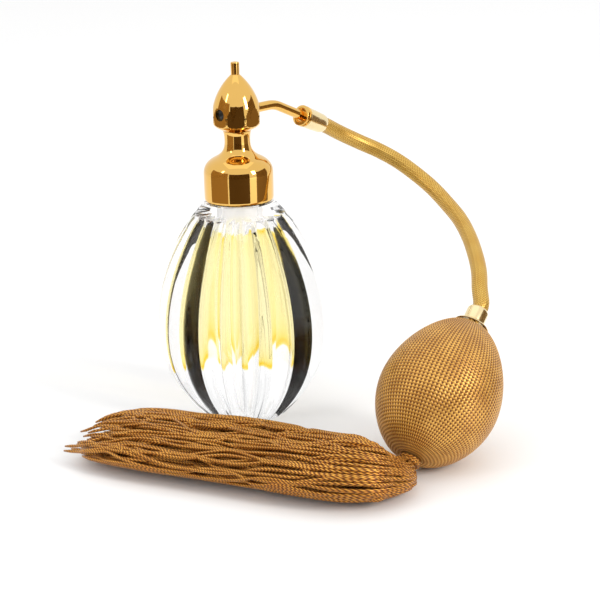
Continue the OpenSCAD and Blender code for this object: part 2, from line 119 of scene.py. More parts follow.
def through(points, spacing):
    """A smooth line through the points, cut into even steps of about that spacing."""
    p = np.array(points, float)
    fine = []
    for i in range(len(p) - 1):
        a, b, c, d = p[max(i - 1, 0)], p[i], p[i + 1], p[min(i + 2, len(p) - 1)]
        for t in np.arange(0, 1, 0.05):
            fine.append(0.5 * (2 * b + (c - a) * t + (2 * a - 5 * b + 4 * c - d) * t * t + (3 * b - a - 3 * c + d) * t ** 3))
    fine = np.array(fine + [p[-1]])
    run = np.concatenate([[0], np.cumsum(np.linalg.norm(np.diff(fine[:, :3], axis=0), axis=1))])
    even = np.linspace(0, run[-1], max(3, int(round(run[-1] / spacing)) + 1))
    return np.stack([np.interp(even, run, fine[:, k]) for k in range(fine.shape[1])], axis=1)


def inset(line, t):
    """The outline moved sideways by t, to the left of its direction."""
    out = []
    for i, p in enumerate(line):
        d = line[min(i + 1, len(line) - 1)] - line[max(i - 1, 0)]
        out.append(p + t * np.array([-d[1], d[0]]) / np.hypot(*d))
    return out


# %% [markdown]
# ## The hose comes first
# A hose has a fixed length: it leaves the ferrule behind the spray head, rises a little on its own
# stiffness, then bends down to the nut on the bulb. It could be a curve with a round bevel, but the
# real one is wound in lengthwise threads, so it is a mesh tube whose rings carry fine ribs, with
# the two directions of its surface kept as a UV map for the thread pattern.

# %% A tube along a path
def ahead_of(path):
    d = np.gradient(path[:, :3], axis=0)
    return d / np.linalg.norm(d, axis=1)[:, None]


def rings_along(path, sides, radius, ribs=0, rib_height=0.0):
    """Rings of points round a path, without twist. The path is in metres."""
    d = ahead_of(path)
    side = np.cross(d[0], [0.3, 0.2, 1.0])
    angle = np.arange(sides) * 2 * np.pi / sides
    radius = np.broadcast_to(radius, (len(path),))
    stack = []
    for i, p in enumerate(path):
        side = side - d[i] * np.dot(side, d[i])
        side /= np.linalg.norm(side)
        up = np.cross(d[i], side)
        r = radius[i] + rib_height * np.cos(ribs * angle)
        stack.append(p[:3] + r[:, None] * (np.cos(angle)[:, None] * side + np.sin(angle)[:, None] * up))
    return np.array(stack)


def skin(name, stacks, uvs, caps=True, ring_closed=True):
    """One mesh from stacks of rings. uvs gives each stack's (around, along) scale and start."""
    points, faces, loops = [], [], []
    start = 0
    for stack, (around, rows_v) in zip(stacks, uvs):
        rows, n = stack.shape[:2]
        points.append(stack.reshape(-1, 3))
        for i in range(rows - 1):
            for k in range(n):
                m = (k + 1) % n
                a, b = start + i * n, start + (i + 1) * n
                faces.append((a + k, a + m, b + m, b + k))
                loops += [(k / n * around, rows_v[i]), ((k + 1) / n * around, rows_v[i]),
                          ((k + 1) / n * around, rows_v[i + 1]), (k / n * around, rows_v[i + 1])]
        if caps:
            for i, order in ((0, range(n - 1, -1, -1)), (rows - 1, range(n))):
                faces.append(tuple(start + i * n + k for k in order))
                loops += [(k / n * around, rows_v[i]) for k in order]
        start += rows * n
    mesh = bpy.data.meshes.new(name)
    mesh.from_pydata(np.concatenate(points).tolist(), [], faces)
    layer = mesh.uv_layers.new(name="Thread")
    layer.data.foreach_set("uv", np.array(loops, np.float32).ravel())
    piece = bpy.data.objects.new(name, mesh)
    bpy.context.scene.collection.objects.link(piece)
    mesh.polygons.foreach_set("use_smooth", [True] * len(mesh.polygons))
    mesh.update()
    return piece


# %% Lay the hose on its route
hose_points = [[25.44, 25.44, 105.92], [30.33, 30.33, 102.78], [32.46, 32.46, 101.42], [38, 36.2, 97.6],
               [45.4, 38.8, 93.4], [52.8, 39.2, 89.8], [59.8, 37.8, 85.9], [66.2, 34.5, 81.6],
               [72, 29.5, 77.3], [76.9, 22.7, 72.9], [81.2, 14, 68.6], [83.9, 3.8, 64],
               [85.3, -6.7, 59.2], [85.6, -13.8, 55.7], [85.2, -20, 52], [85.22, -25.59, 47.69],
               [84.02, -27.44, 45.97], [82.22, -30.22, 43.38]]
hose_path = through(hose_points, 1.2) * MM
hose_run = np.concatenate([[0], np.cumsum(np.linalg.norm(np.diff(hose_path, axis=0), axis=1))])
hose = skin("covered_hose", [rings_along(hose_path, 64, 2.83 * MM, 16, 0.07 * MM)], [(16.0, hose_run / MM)])
print("hose length in mm", round(float(hose_run[-1]) / MM, 1))

# %% [markdown]
# ## Turning pieces on a lathe
# Collar, head, nuts, flange and bottle are all round. A turner draws the outline and spins it. Here
# a circle is drawn at the first point of the outline, then extruded and scaled ring by ring. The
# ends that touch the axis are merged into one point, and so is a ring that comes back to the start.

# %% The lathe
def nothing_selected():
    if bpy.context.mode != "OBJECT":
        bpy.ops.object.mode_set(mode="OBJECT")
    bpy.ops.object.select_all(action="DESELECT")


def only(piece):
    nothing_selected()
    piece.select_set(True)
    bpy.context.view_layer.objects.active = piece


def turned(name, outline, sides=128, smooth=35, place=None):
    """A round piece from (radius, height) points in mm, set in its place."""
    nothing_selected()
    outline = [(max(float(r), 0.004), float(z)) for r, z in outline]
    bpy.ops.mesh.primitive_circle_add(vertices=sides, radius=outline[0][0] * MM, location=(0, 0, outline[0][1] * MM))
    piece = bpy.context.object
    piece.name = name
    bpy.ops.object.transform_apply(location=True, rotation=True, scale=True)
    bpy.ops.object.mode_set(mode="EDIT")
    bpy.ops.mesh.select_all(action="SELECT")
    for (r0, z0), (r1, z1) in zip(outline, outline[1:]):
        bpy.ops.mesh.extrude_region_move(TRANSFORM_OT_translate={"value": (0, 0, (z1 - z0) * MM)})
        if abs(r1 - r0) > 1e-6:
            bpy.ops.transform.resize(value=(r1 / r0, r1 / r0, 1), center_override=(0, 0, 0))
    bpy.ops.mesh.select_all(action="SELECT")
    bpy.ops.mesh.remove_doubles(threshold=0.01 * MM)
    bpy.ops.mesh.normals_make_consistent(inside=False)
    bpy.ops.object.mode_set(mode="OBJECT")
    bpy.ops.object.shade_smooth_by_angle(angle=math.radians(smooth))
    if place is not None:
        put(piece, place)
    return piece


def put(piece, place):
    """Moves a piece to its place and leaves its object at the origin."""
    only(piece)
    piece.matrix_world = place
    bpy.ops.object.transform_apply(location=True, rotation=True, scale=True)


# %% Where the turned pieces stand
def at(x, y, z):
    return Matrix.Translation(Vector((x, y, z)) * MM)


def spun(degrees, axis):
    return Matrix.Rotation(math.radians(degrees), 4, axis)


jet_z, bend, bend_r, bend_x = 113.7, 24.4, 14, 15.8
bend_end = (bend_x + bend_r * math.sin(math.radians(bend)), 0, jet_z - bend_r * (1 - math.cos(math.radians(bend))))
tube_place = spun(45, "Z")
nut_place = tube_place @ at(*bend_end) @ spun(90 + bend, "Y") @ at(0, 0, 11.9)
bulb_place = at(68.4, -51.5, 23.5602) @ spun(57, "Z") @ spun(52, "Y")
print("hose nut at", [round(v / MM, 2) for v in nut_place.translation])

# %% [markdown]
# ## The glass
# The bottle is blown thick, cut with twenty-two hollow flutes that meet in ridges, and its inside
# is a smooth egg. Glass bends light at both surfaces, so both are modelled: one closed skin goes
# up the outside, over the rim and down the inside. The flutes are made by drawing in every column
# of points between two ridges, each by its own share. A boolean could cut them, but it would leave
# a rough mesh, and rough glass shows at once.

# %% Turn the bottle
CUTS = 12
FLUTES = 22
outside = curves([[14.5, 0.4], [23.5, 9], [31.5, 19], [31.5, 36], [31.5, 53], [23.5, 70], [12.6, 81.3]], 26)
cavity = curves([[2, 20.5], [9.5, 20.5], [15.9, 31], [15.9, 43], [15.9, 54], [13.8, 63.7], [11.9, 66.5]], 18)
hollow = inset(cavity, 1.1)
shoulder = curves([[11.3, 81.32], [10.6, 81.35], [9.6, 81.6], [9.4, 82.6]], 5)
bottle_line = ([(0.004, 0), (13.2, 0), (13.45, 0.1), (13.6, 0.4)] + outside + shoulder
               + [(9.4, 91.3), (9.2, 91.5), (7.0, 91.5), (6.8, 91.3), (6.8, 80), (6.8, 69.6), (7.0, 69.2),
                  (8.4, 68.3), (9.8, 67.0)]
               + [tuple(p) for p in reversed(hollow) if p[1] < 66.2] + [(0.004, 21.6)])
bottle = turned("fluted_bottle", bottle_line, sides=FLUTES * CUTS)

# %% Draw in the flutes
def draw_in_flutes(piece):
    """Scales each column between two ridges towards the axis, more in the middle, in bands of height."""
    half = math.pi / FLUTES
    co = np.array([v.co for v in piece.data.vertices]) / MM
    r, z = np.hypot(co[:, 0], co[:, 1]), co[:, 2]
    outer = (z > 0.39) & (z < 81.31) & (r > np.where((z > 18) & (z < 70), 19.0, 12.5))
    spot = np.degrees(np.arctan2(co[:, 1], co[:, 0])) + 86
    column = np.round(spot / (360 / FLUTES / CUTS)).astype(int) % CUTS
    bands = [(0, 66, 1.0), (66, 69, 0.9), (69, 71.5, 0.7), (71.5, 74, 0.4), (74, 76.5, 0.15)]
    bpy.context.tool_settings.mesh_select_mode = (True, False, False)
    for k in range(1, CUTS):
        t = 2 * k / CUTS - 1
        full = (math.cos(half) - 0.018 * (1 - t * t)) / math.cos(t * half)
        for low, high, depth in bands:
            only(piece)
            piece.data.vertices.foreach_set("select", (outer & (column == k) & (z >= low) & (z < high)).tolist())
            share = 1 - depth * (1 - full)
            bpy.ops.object.mode_set(mode="EDIT")
            bpy.ops.transform.resize(value=(share, share, 1), center_override=(0, 0, 0))
            bpy.ops.object.mode_set(mode="OBJECT")


for part in ("vertices", "edges", "polygons"):
    data = getattr(bottle.data, part)
    data.foreach_set("select", [False] * len(data))
put(bottle, spun(-86, "Z"))
draw_in_flutes(bottle)
only(bottle)
bpy.ops.object.shade_smooth_by_angle(angle=math.radians(34))
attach(bottle, "bottle")
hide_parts("bottle_glass")
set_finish(bottle, "clear_glass")
print("bottle faces", len(bottle.data.polygons))

# %% [markdown]
# ## The amber layer
# A thin skin of amber glass lies inside the clear glass. It doesn't bend light at all against the
# clear glass, it only takes blue and some green out of it: the more glass the light crosses, the
# deeper the colour, so it is pale in the middle and dark at its rim. It is a closed shell that
# sits wholly inside the clear wall, with no shine of its own.

# %% Turn the amber layer
skin_gap = 0.03
inner_side = [tuple(p) for p in reversed(inset(cavity, 1.1 - skin_gap)) if p[1] < 66.2]
amber_line = ([(0.004, 20.5)] + [tuple(p) for p in cavity] + [(9.0, 68.8), (7.4, 69.62), (6.86, 69.66), (6.86, 69.62), (7.06, 69.24), (8.44, 68.34), (9.84, 67.03)]
              + inner_side + [(0.004, 21.6 - skin_gap)])
amber = turned("amber_layer", amber_line, sides=128)
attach(amber, "bottle")
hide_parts("amber_casing")
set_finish(amber, "amber_glass")
print("amber faces", len(amber.data.polygons))

# %% [markdown]
# ## The gold mount
# The collar is a bell with a narrow waist, spun in one piece, and its lower edge is rolled in. The
# spray head is turned like an acorn, then eight flats are cut on it. Bisecting with a plane leaves
# the flat and its arched edge exactly as a milling cutter does.

# %% Turn the collar
collar_line = ([(12.0, 81.7)] + [(12.0, 91.5), (10.1, 95.4), (7.05, 96.9), (3.15, 96.9), (3.15, 107.05)]
               + [(3.3, 107.1)] + curves([[5.15, 107.1], [4.75, 106.3], [4.6, 104.6], [4.65, 103], [4.72, 100.4], [5.6, 98.9],
               [8.15, 97.6], [10.9, 96.3], [12.6, 94.7], [12.6, 91.5]], 16)
               + [(12.6, 88), (12.58, 85.2)] + curves([[12.55, 83.3], [12.55, 82.5], [12.4, 81.95], [12.0, 81.7]], 6))
collar = turned("bell_collar", collar_line, sides=160)
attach(collar, "collar")
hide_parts("collar_shell")
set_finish(collar, "gold")

# %% Turn the head and cut its eight flats
head_line = ([(0.004, 127.3), (1.4, 127.3)]
             + curves([[1.55, 127.25], [4.8, 124.4], [8.6, 119.0], [8.8, 112.5]], 26)
             + curves([[8.8, 110.6], [8.7, 109.4], [7.8, 108.6], [6.4, 107.9]], 10)
             + [(5.6, 107.42), (5.05, 107.4), (5.0, 107.45), (5.0, 110.9), (4.3, 110.9), (4.3, 112.9), (0.004, 112.9)])
head = turned("acorn_spray_head", head_line, sides=160)
only(head)
for k in range(8):
    a = math.radians(45 * k)
    bpy.ops.object.mode_set(mode="EDIT")
    bpy.ops.mesh.select_all(action="SELECT")
    bpy.ops.mesh.bisect(plane_co=(8.2 * MM * math.cos(a), 8.2 * MM * math.sin(a), 0),
                        plane_no=(math.cos(a), math.sin(a), 0), use_fill=True, clear_outer=True)
    bpy.ops.object.mode_set(mode="OBJECT")

# %% Drill the spray opening
spray = spun(45, "Z") @ at(-8.2, 0, jet_z) @ spun(-90, "Y")
nothing_selected()
bpy.ops.mesh.primitive_cylinder_add(vertices=48, radius=2.12 * MM, depth=6.4 * MM)
drill = bpy.context.object
put(drill, spray)
only(head)
cut = head.modifiers.new("opening", "BOOLEAN")
cut.object = drill
cut.solver = "EXACT"
bpy.ops.object.modifier_apply(modifier="opening")
bpy.data.objects.remove(drill)
rim = head.modifiers.new("edges", "BEVEL")
rim.width = 0.09 * MM
rim.segments = 2
rim.limit_method = "ANGLE"
rim.angle_limit = math.radians(14)
rim.use_clamp_overlap = True
bpy.ops.object.modifier_apply(modifier="edges")
bpy.ops.object.shade_smooth_by_angle(angle=math.radians(12))
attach(head, "head")
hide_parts("acorn_head")
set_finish(head, "gold")
print("head faces", len(head.data.polygons))

# %% Turn the pin on top
pin = turned("top_pin", [(0.004, 124.5), (1.05, 124.5), (1.05, 127.25), (1.3, 127.3), (1.5, 127.32), (1.55, 127.5)]
             + curves([[1.55, 131.2], [1.55, 131.5], [1.4, 131.7], [1.1, 131.7]], 6)
             + [(0.55, 131.7), (0.45, 131.6), (0.4, 131.2), (0.004, 131.2)], sides=64, smooth=40)
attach(pin, "head")
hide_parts("finial_pin")
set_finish(pin, "gold")

# %% [markdown]
# ## The bent tube, nut and ferrule
# The air tube is a straight pipe bent once on a former. It is a tube along a path, as the hose is,
# because rings set square to the path keep a bent pipe round.

# %% Bend the air tube
bent = [(4.8, 0, jet_z), (bend_x - 1, 0, jet_z)]
for k in range(17):
    a = math.radians(bend * k / 16)
    bent.append((bend_x + bend_r * math.sin(a), 0, jet_z - bend_r * (1 - math.cos(a))))
far = 24.2
for share in (0.1, 0.5, 1.0):
    bent.append((bend_end[0] + far * share * math.cos(math.radians(bend)), 0, jet_z - bend_r * (1 - math.cos(math.radians(bend))) - far * share * math.sin(math.radians(bend))))
tube_path = np.array([list(tube_place @ (Vector(p) * MM)) for p in bent])
pipe = skin("bent_air_tube", [rings_along(tube_path, 48, 1.75 * MM)], [(1.0, np.arange(len(bent)))])
only(pipe)
bpy.ops.object.shade_smooth_by_angle(angle=math.radians(40))
print("tube ends at", [round(v / MM, 1) for v in tube_path[-1]])
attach(pipe, "head")
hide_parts("air_tube")
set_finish(pipe, "gold")

# %% Turn the nut, the ferrule and the fittings on the bulb
small = [
    ("hose_nut", "tube_nut", "gold", nut_place, "head",
     [(2.65, 0.15), (2.75, 0), (3.6, 0), (3.82, 0.08), (3.9, 0.28), (3.9, 0.85), (3.8, 1.0), (3.58, 1.1), (3.55, 1.2), (3.58, 1.45),
      (3.8, 1.55), (3.9, 1.7), (3.9, 2.15), (3.8, 2.28), (1.78, 2.28), (1.78, 0.65), (2.2, 0.62), (2.65, 0.15)]),
    ("crimped_ferrule", "hose_ferrule", "pale_gold", nut_place, "head",
     [(2.98, 2.32), (3.7, 2.32), (3.8, 2.42), (3.8, 3.0), (3.76, 6.7), (3.72, 7.1), (3.62, 9.5), (3.52, 11.2), (3.46, 11.5), (3.36, 11.9),
      (3.2, 12.25), (3.05, 12.3), (2.98, 12.2), (2.98, 2.32)]),
    ("bulb_end_nut", "bulb_nut", "pale_gold", bulb_place, "bulb",
     [(1.8, 30.93), (3.7, 30.93), (3.9, 31.1), (3.9, 35.6), (3.84, 35.9), (3.5, 36.45), (3.36, 36.58), (3.1, 36.6), (3.02, 36.5), (3.02, 32.1), (1.8, 32.0), (1.8, 30.93)]),
    ("saucer_flange", "bulb_flange", "pale_gold", bulb_place, "bulb",
     [(1.8, 30.2), (3.6, 30.2), (5.8, 29.12), (6.1, 29.1), (6.36, 29.16), (6.4, 29.3), (6.36, 29.42), (6.2, 29.56), (5.2, 30.25), (4.3, 30.78), (4.0, 30.9), (1.8, 30.9), (1.8, 30.2)]),
]
for name, node_name, slot_name, place, body, outline in small:
    piece = turned(name, outline, sides=96, smooth=32, place=place)
    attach(piece, body)
    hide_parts(node_name)
    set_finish(piece, slot_name)
    print(name, "has", len(piece.data.polygons), "faces")

# %% [markdown]
# ## The rubber bulb and its net
# The bulb is rubber under a net knitted in silky thread. Each stitch is a little V about a
# millimetre and a half wide, and the columns of stitches run from the nut to the tail like the
# lines on a globe. A bump alone looks flat at the edge of the bulb, so the columns and the rows
# are real relief, four points to a stitch, and the plies of the thread are left to the material.
# On the real bulb, net and rubber shorten together when it is squeezed; here both are carried by the bulb's body.

# %% Turn the rubber
bulb_line = curves([[2.9, -26.3], [11.5, -26.3], [21.5, -14], [21.5, -1], [21.5, 12.5], [11.9, 26.5], [5.2, 28.9]], 12)
rubber_out = [(p[0], p[1]) for p in inset(bulb_line, 0.95) if p[0] > 3.0 and p[1] < 27.9]
rubber_in = [(p[0], p[1]) for p in reversed(inset(bulb_line, 2.6)) if p[0] > 3.0 and p[1] < 25.7]
rubber = turned("rubber_bulb", [(2.6, -25.4)] + rubber_out + [(1.75, 28.5), (1.75, 27.1)] + rubber_in + [(2.6, -23.7), (2.6, -25.4)],
                sides=96, place=bulb_place)

# %% Knit the net
WALES, COURSES = 92, 58
line = through([[p[0], 0, p[1]] for p in bulb_line], 0.3)
run = np.concatenate([[0], np.cumsum(np.linalg.norm(np.diff(line, axis=0), axis=1))])
rows = COURSES * 4 + 1
even = np.linspace(0, run[-1], rows)
radius, height = np.interp(even, run, line[:, 0]), np.interp(even, run, line[:, 2])
slope = np.stack([np.gradient(radius), np.gradient(height)], axis=1)
slope /= np.linalg.norm(slope, axis=1)[:, None]
across = np.arange(WALES * 4)
angle = across * 2 * np.pi / (WALES * 4)
stitch = np.arange(rows) / 4
wale = across / 4
fold = np.abs(wale % 1 - 0.5) * 2
relief = np.zeros((rows, WALES * 4))
for i in range(rows):
    pleat = np.clip((even[i] / run[-1] - 0.5) * 2.0, 0, 1)
    dots = (0.5 + 0.5 * np.cos(2 * np.pi * stitch[i])) * fold ** 2
    relief[i] = (1 - fold ** 2) * (0.75 + 0.25 * pleat) + dots * 0.8 * (1 - pleat)
    relief[i] *= min(1, radius[i] / 9)
soft = 0.12 * np.sin(angle * 9 + 1) * np.sin(angle * 14)
depth = (relief * 0.26 - 0.3)
r = radius[:, None] + (depth + soft[None, :] * np.exp(-((even[:, None] - 4) / 7) ** 2)) * slope[:, 1:2]
z = height[:, None] - depth * slope[:, 0:1]
net_rings = np.stack([r * np.cos(angle), r * np.sin(angle), z], axis=2) * MM
net = skin("knitted_net", [net_rings], [(float(WALES), stitch)], caps=False)
only(net)
bpy.ops.object.mode_set(mode="EDIT")
bpy.ops.mesh.select_all(action="SELECT")
bpy.ops.mesh.normals_make_consistent(inside=False)
bpy.ops.object.mode_set(mode="OBJECT")
put(net, bulb_place)
print("net triangles", len(net.data.polygons) * 2, "stitches", WALES * COURSES)

# %% Attach the net and the rubber to the bulb, each with a mesh of its own
for piece, node_name, slot_name in ((net, "bulb_net", "net_thread"), (rubber, "bulb_bladder", "bulb_rubber")):
    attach(piece, "bulb")
    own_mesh(piece)
    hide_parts(node_name)
    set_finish(piece, slot_name)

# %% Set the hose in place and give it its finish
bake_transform(hose)
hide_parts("hose")
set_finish(hose, "gold_braid")

# %% [markdown]
# ## The tassel
# The tassel is a few hundred thin braided cords, tied at the tail of the bulb. They fold over
# at the knot, so the tassel has a round shoulder there, and then they lie on the table side by
# side, crossing a little, and end raggedly. Each cord gets its own path: a place across the bundle
# that drifts slowly along it, so the cords part, close up and cross. A hair system would be
# quicker, but it can't be carried by a joint and its strands have no braid.

# %% The middle line of the tassel
tassel_route = [[55.2, -73.4, 5.0, 2.0, 2.2], [53.6, -76.8, 4.9, 6, 4.2], [48, -82, 7.4, 12.3, 7.2], [38.5, -83.8, 10, 17, 9.9],
                [26, -78.2, 9.8, 19, 9.6], [10, -67, 8.8, 22, 8.6], [-6, -57.5, 8.2, 23.5, 8],
                [-22.6, -50.3, 7.8, 23, 7.6], [-36, -43, 7.4, 23, 7.2], [-46.5, -38.5, 6.6, 20.5, 6.4],
                [-53.5, -36, 5, 16, 4.8], [-60, -33.5, 4, 14, 3.4]]
middle = through(tassel_route, 2.6)
way = ahead_of(middle)
sideways = np.cross([0, 0, 1.0], way)
sideways /= np.linalg.norm(sideways, axis=1)[:, None]
upward = np.cross(way, sideways)
print("tassel length in mm", round(2.6 * (len(middle) - 1)))

# %% Lay the cords
def drift(seed, rows, bends):
    """A slow smooth wander from -1 to 1, the same each run."""
    r = random.Random(seed)
    knots = [r.uniform(-1, 1) for _ in range(bends + 2)]
    x = np.linspace(0, bends + 1, rows)
    i = np.minimum(x.astype(int), bends)
    t = x - i
    t = t * t * (3 - 2 * t)
    k = np.array(knots)
    return k[i] * (1 - t) + k[i + 1] * t


def cord_path(k, a, b, last, wander=0.3):
    """Path of one cord whose place across the bundle is (a, b) in the unit circle."""
    rows = max(8, int(len(middle) * last))
    a = a + wander * drift(2 * k, rows, 5)
    b = b + wander * drift(2 * k + 1, rows, 5)
    far = np.maximum(1, np.hypot(a, b) / 0.97)
    a, b = a / far, b / far
    c = middle[:rows]
    p = c[:, :3] + (a * (c[:, 3] - 0.4))[:, None] * sideways[:rows] + (b * (c[:, 4] - 0.4))[:, None] * upward[:rows]
    p[:, 2] = np.maximum(p[:, 2], 0.62 + 0.3 * (1 + b))
    return p * MM


stacks, uvs = [], []
CORDS = 300
for k in range(CORDS):
    share = math.sqrt((k + 0.5) / CORDS)
    a, b = share * math.cos(k * 2.39996), share * math.sin(k * 2.39996)
    last = 0.86 + 0.10 * chance.random() + (0.04 if chance.random() < 0.12 else 0)
    path = cord_path(k, a, b, last)
    r = np.full(len(path), (0.53 + 0.09 * chance.random()) * MM)
    r[-1] *= 0.55
    stack = rings_along(path, 6, r)
    stacks.append(stack)
    uvs.append((1.0, np.arange(len(path)) * 2.6 + chance.random() * 3))
half_way = CORDS // 2
tassels = [skin("tassel_inner_cords", stacks[:half_way], uvs[:half_way]),
           skin("tassel_outer_cords", stacks[half_way:], uvs[half_way:])]
for piece in tassels:
    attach(piece, "tassel")
    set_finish(piece, "tassel_thread")
    print(piece.name, "polygons", len(piece.data.polygons))
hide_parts("tassel")

# %% Loops that stand up at the knot
knot = Vector((55.31, -71.66, 4.78))
loops, loop_uvs = [], []
for k in range(26):
    a = math.radians(-150 + 300 * k / 25 + chance.uniform(-5, 5))
    c = middle[3]
    edge = c[:3] + 0.93 * math.sin(a) * (c[3]) * sideways[3] + 0.93 * math.cos(a) * (c[4]) * upward[3]
    c2 = middle[7]
    rest = c2[:3] + 0.95 * math.sin(a) * c2[3] * sideways[7] + 0.95 * math.cos(a) * c2[4] * upward[7]
    c3 = middle[12 + k % 5]
    deep = c3[:3] + 0.8 * math.sin(a) * c3[3] * sideways[12] + 0.8 * math.cos(a) * c3[4] * upward[12]
    out = edge + np.array([0.6, 0.2, 0]) * chance.random()
    start = np.array(knot) + np.array([0.4 * math.sin(a), -1.2, 1.2 * math.cos(a) + 1.6])
    p = through([start, (start + out) / 2 + np.array([0.5, -0.2, 1.0 * math.cos(a)]), out, (edge + rest) / 2, rest, deep], 1.4)
    p[:, 2] = np.maximum(p[:, 2], 0.7)
    loops.append(rings_along(p * MM, 6, 0.56 * MM))
    loop_uvs.append((1.0, np.arange(len(p)) * 1.4))
crown = skin("tassel_crown_loops", loops, loop_uvs)
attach(crown, "tassel")
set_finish(crown, "tassel_thread")

# %% Wind the knot and the tie
def winding(name, place, radius, z0, z1, turns, thread):
    """A thread wound round and round, like sewing cotton on a reel."""
    rows = int(turns * 22)
    t = np.linspace(0, 1, rows)
    angle = t * turns * 2 * np.pi
    r = radius(t)
    local = np.stack([r * np.cos(angle), r * np.sin(angle), z0 + (z1 - z0) * t], axis=1) * MM
    world = np.array([list(place @ Vector(p)) for p in local])
    piece = skin(name, [rings_along(world, 6, thread * MM)], [(1.0, t * turns * 2 * np.pi * 3)])
    return piece


tie = winding("net_tie_thread", bulb_place, lambda t: 3.1 + 0.5 * np.sin(t * 9), -28.3, -26.9, 5, 0.5)
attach(tie, "tail")
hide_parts("net_tie")
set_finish(tie, "tassel_thread")
wrap = winding("tassel_knot_wrap", bulb_place, lambda t: 0.9 + 1.8 * np.sqrt(np.clip(np.sin(np.pi * (0.08 + 0.86 * t)), 0, 1)), -33.4, -30.6, 7, 0.34)
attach(wrap, "tassel")
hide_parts("tassel_head")
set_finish(wrap, "tassel_thread")
print("tie and knot wound")

# %% [markdown]
# ## Finishes
# Every finish is a small node tree. What several finishes need, such as fine wear on metal or the
# twist of a thread, is a node group with named inputs, built once and placed with its own values.

# %% Helpers for node trees
def node(tree, kind, links=None, **settings):
    n = tree.nodes.new(kind)
    for key, value in settings.items():
        setattr(n, key, value)
    for key, value in (links or {}).items():
        socket = n.inputs[key]
        if isinstance(value, bpy.types.NodeSocket):
            tree.links.new(value, socket)
        else:
            socket.default_value = value
    return n


def calc(tree, operation, a, b=0.0, c=0.0):
    return node(tree, "ShaderNodeMath", {0: a, 1: b, 2: c}, operation=operation).outputs[0]


def mixed(tree, share, a, b):
    n = node(tree, "ShaderNodeMix", {0: share, 6: a, 7: b}, data_type="RGBA")
    return n.outputs[2]


def group(name, inputs, outputs):
    tree = bpy.data.node_groups.new(name, "ShaderNodeTree")
    for key, kind, value in inputs:
        socket = tree.interface.new_socket(key, in_out="INPUT", socket_type="NodeSocket" + kind)
        if value is not None:
            socket.default_value = value
    for key, kind in outputs:
        tree.interface.new_socket(key, in_out="OUTPUT", socket_type="NodeSocket" + kind)
    return tree, tree.nodes.new("NodeGroupInput").outputs, tree.nodes.new("NodeGroupOutput").inputs


def placed(tree, group_tree, values):
    n = node(tree, "ShaderNodeGroup", node_tree=group_tree)
    for key, value in values.items():
        if isinstance(value, bpy.types.NodeSocket):
            tree.links.new(value, n.inputs[key])
        else:
            n.inputs[key].default_value = value
    return n.outputs


def finish_of(name):
    material = bpy.data.materials.new(name)
    material.use_nodes = True
    tree = material.node_tree
    return material, tree, tree.nodes["Principled BSDF"]


# %% Wear on polished metal
wear, inp, out = group("Metal wear", [("Vector", "Vector", None), ("Scale", "Float", 60.0), ("Polish", "Float", 0.06), ("Dull", "Float", 0.16)],
                       [("Mask", "Float"), ("Roughness", "Float"), ("Height", "Float")])
cloud = node(wear, "ShaderNodeTexNoise", {"Vector": inp["Vector"], "Scale": inp["Scale"], "Detail": 5.0, "Roughness": 0.6}).outputs["Fac"]
fine = node(wear, "ShaderNodeTexNoise", {"Vector": inp["Vector"], "Scale": calc(wear, "MULTIPLY", inp["Scale"], 9.0), "Detail": 3.0}).outputs["Fac"]
patch = node(wear, "ShaderNodeMapRange", {"Value": cloud, "From Min": 0.42, "From Max": 0.72}).outputs["Result"]
wear.links.new(patch, out["Mask"])
spread = calc(wear, "SUBTRACT", inp["Dull"], inp["Polish"])
rough = calc(wear, "MULTIPLY_ADD", calc(wear, "MULTIPLY", patch, fine), spread, inp["Polish"])
wear.links.new(rough, out["Roughness"])
wear.links.new(fine, out["Height"])
print("group", wear.name, "has", len(wear.nodes), "nodes")

# %% Twist of a thread
twist, inp, out = group("Thread twist", [("Vector", "Vector", None), ("Pitch", "Float", 1.6), ("Plies", "Float", 2.0), ("Chevron", "Float", 1.0)],
                        [("Height", "Float"), ("Mask", "Float")])
xyz = node(twist, "ShaderNodeSeparateXYZ", {"Vector": inp["Vector"]}).outputs
turns = calc(twist, "MULTIPLY", xyz["X"], inp["Plies"])
folded = calc(twist, "MULTIPLY", calc(twist, "ABSOLUTE", calc(twist, "SUBTRACT", calc(twist, "FRACT", turns), 0.5)), 2.0)
slant = calc(twist, "ADD", calc(twist, "MULTIPLY", folded, inp["Chevron"]), calc(twist, "MULTIPLY", turns, calc(twist, "SUBTRACT", 1.0, inp["Chevron"])))
wave = calc(twist, "SINE", calc(twist, "MULTIPLY", calc(twist, "ADD", calc(twist, "DIVIDE", xyz["Y"], inp["Pitch"]), slant), 2 * math.pi))
lift = calc(twist, "MULTIPLY_ADD", wave, 0.5, 0.5)
twist.links.new(calc(twist, "POWER", lift, 0.7), out["Height"])
# The Mask output paints light into the thread colour: near 1 on the crest of each ply, which takes a painted
# highlight, and near 0 in the gaps, which take painted shade.
painted_ply_light_mask = calc(twist, "MULTIPLY", calc(twist, "POWER", lift, 0.8), calc(twist, "MULTIPLY_ADD", calc(twist, "SINE", calc(twist, "MULTIPLY", folded, math.pi)), 0.5, 0.5))
twist.links.new(painted_ply_light_mask, out["Mask"])
print("group", twist.name, "has", len(twist.nodes), "nodes")

